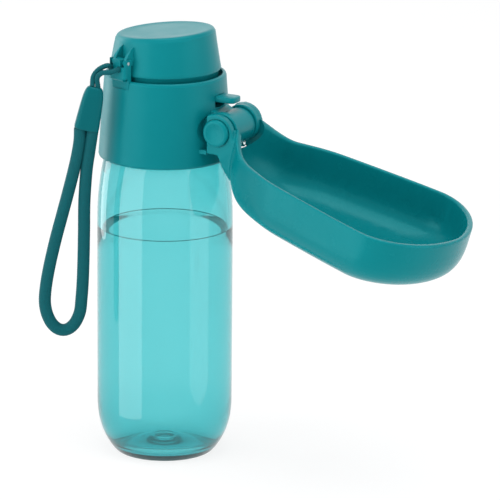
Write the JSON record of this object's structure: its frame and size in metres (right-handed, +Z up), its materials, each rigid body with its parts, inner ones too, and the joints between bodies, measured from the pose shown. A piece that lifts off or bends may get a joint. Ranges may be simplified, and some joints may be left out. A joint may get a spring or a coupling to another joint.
{
  "type": "dog travel water bottle",
  "caption": "Clear hand bottle with a screw head, a fold-out drinking trough fed by a sprung release tab, a flip cap over a spout, and a wrist lanyard.",
  "frame": {"origin": "middle of the bottle's base, on the surface it stands on", "axes": "+Z up along the bottle, +X towards the fold-out trough, +Y to the far side of the trough"},
  "size_m": [0.2068, 0.0965, 0.2179],
  "materials": {
    "clear_teal": "clear gloss",
    "collar_teal": "satin",
    "cap_teal": "satin",
    "trough_teal": "gloss",
    "trim_teal": "gloss",
    "deck_teal": "matte",
    "white_plastic": "gloss",
    "clear_plastic": "clear gloss",
    "seal_rubber": "matte",
    "steel": "polished",
    "cord_teal": "fine braid"
  },
  "bodies": {
    "bottle": {"bottle": "clear_teal"},
    "seal": {"neck_seal": "seal_rubber"},
    "head": {"collar": "collar_teal", "top_deck": "deck_teal", "deck_seal": "seal_rubber", "drinking_spout": "white_plastic", "vent_valve": "seal_rubber", "hinge_barrel": "trim_teal", "outlet_tube": "clear_plastic", "valve_guide": "white_plastic", "stem_ring": "seal_rubber", "valve_spring": "steel", "lanyard_lug": "collar_teal", "cap_hinge_pin": "steel", "lanyard_cord": "cord_teal", "cord_clip": "trim_teal", "wrist_loop": "cord_teal"},
    "cap": {"flip_cap": "cap_teal", "cap_plug": "white_plastic", "cap_seal": "seal_rubber"},
    "release": {"release_tab": "trim_teal", "valve_stem": "steel", "valve_seal": "seal_rubber"},
    "trough": {"trough": "trough_teal", "washer_near": "trim_teal", "washer_far": "trim_teal", "trough_pin": "steel", "pin_cap_near": "trim_teal", "pin_cap_far": "trim_teal"}
  },
  "joints": [
    {"name": "head_lift", "type": "slide", "parent": "bottle", "child": "seal", "axis": [0, 0, 1], "range_m": [0, 0.024]},
    {"name": "head_turn", "type": "hinge", "parent": "seal", "child": "head", "pos_m": [0, 0, 0.17], "axis": [0, 0, 1], "range_deg": [0, 1440]},
    {"name": "cap_flip", "type": "hinge", "parent": "head", "child": "cap", "pos_m": [-0.00927, -0.02853, 0.2047], "axis": [0.9511, -0.309, 0], "range_deg": [0, 110]},
    {"name": "tab_press", "type": "slide", "parent": "head", "child": "release", "axis": [0, 0, -1], "range_m": [0, 0.0025], "stiffness_N_per_m": 600, "springref_m": -0.004, "deforming": ["valve_spring"]},
    {"name": "trough_fold", "type": "hinge", "parent": "head", "child": "trough", "pos_m": [0.038, 0, 0.172], "axis": [0, 1, 0], "range_deg": [-106, 0]}
  ],
  "couplings": [
    {"joint": "head_lift", "follows": "head_turn", "m_per_rad": 0.000954}
  ]
}
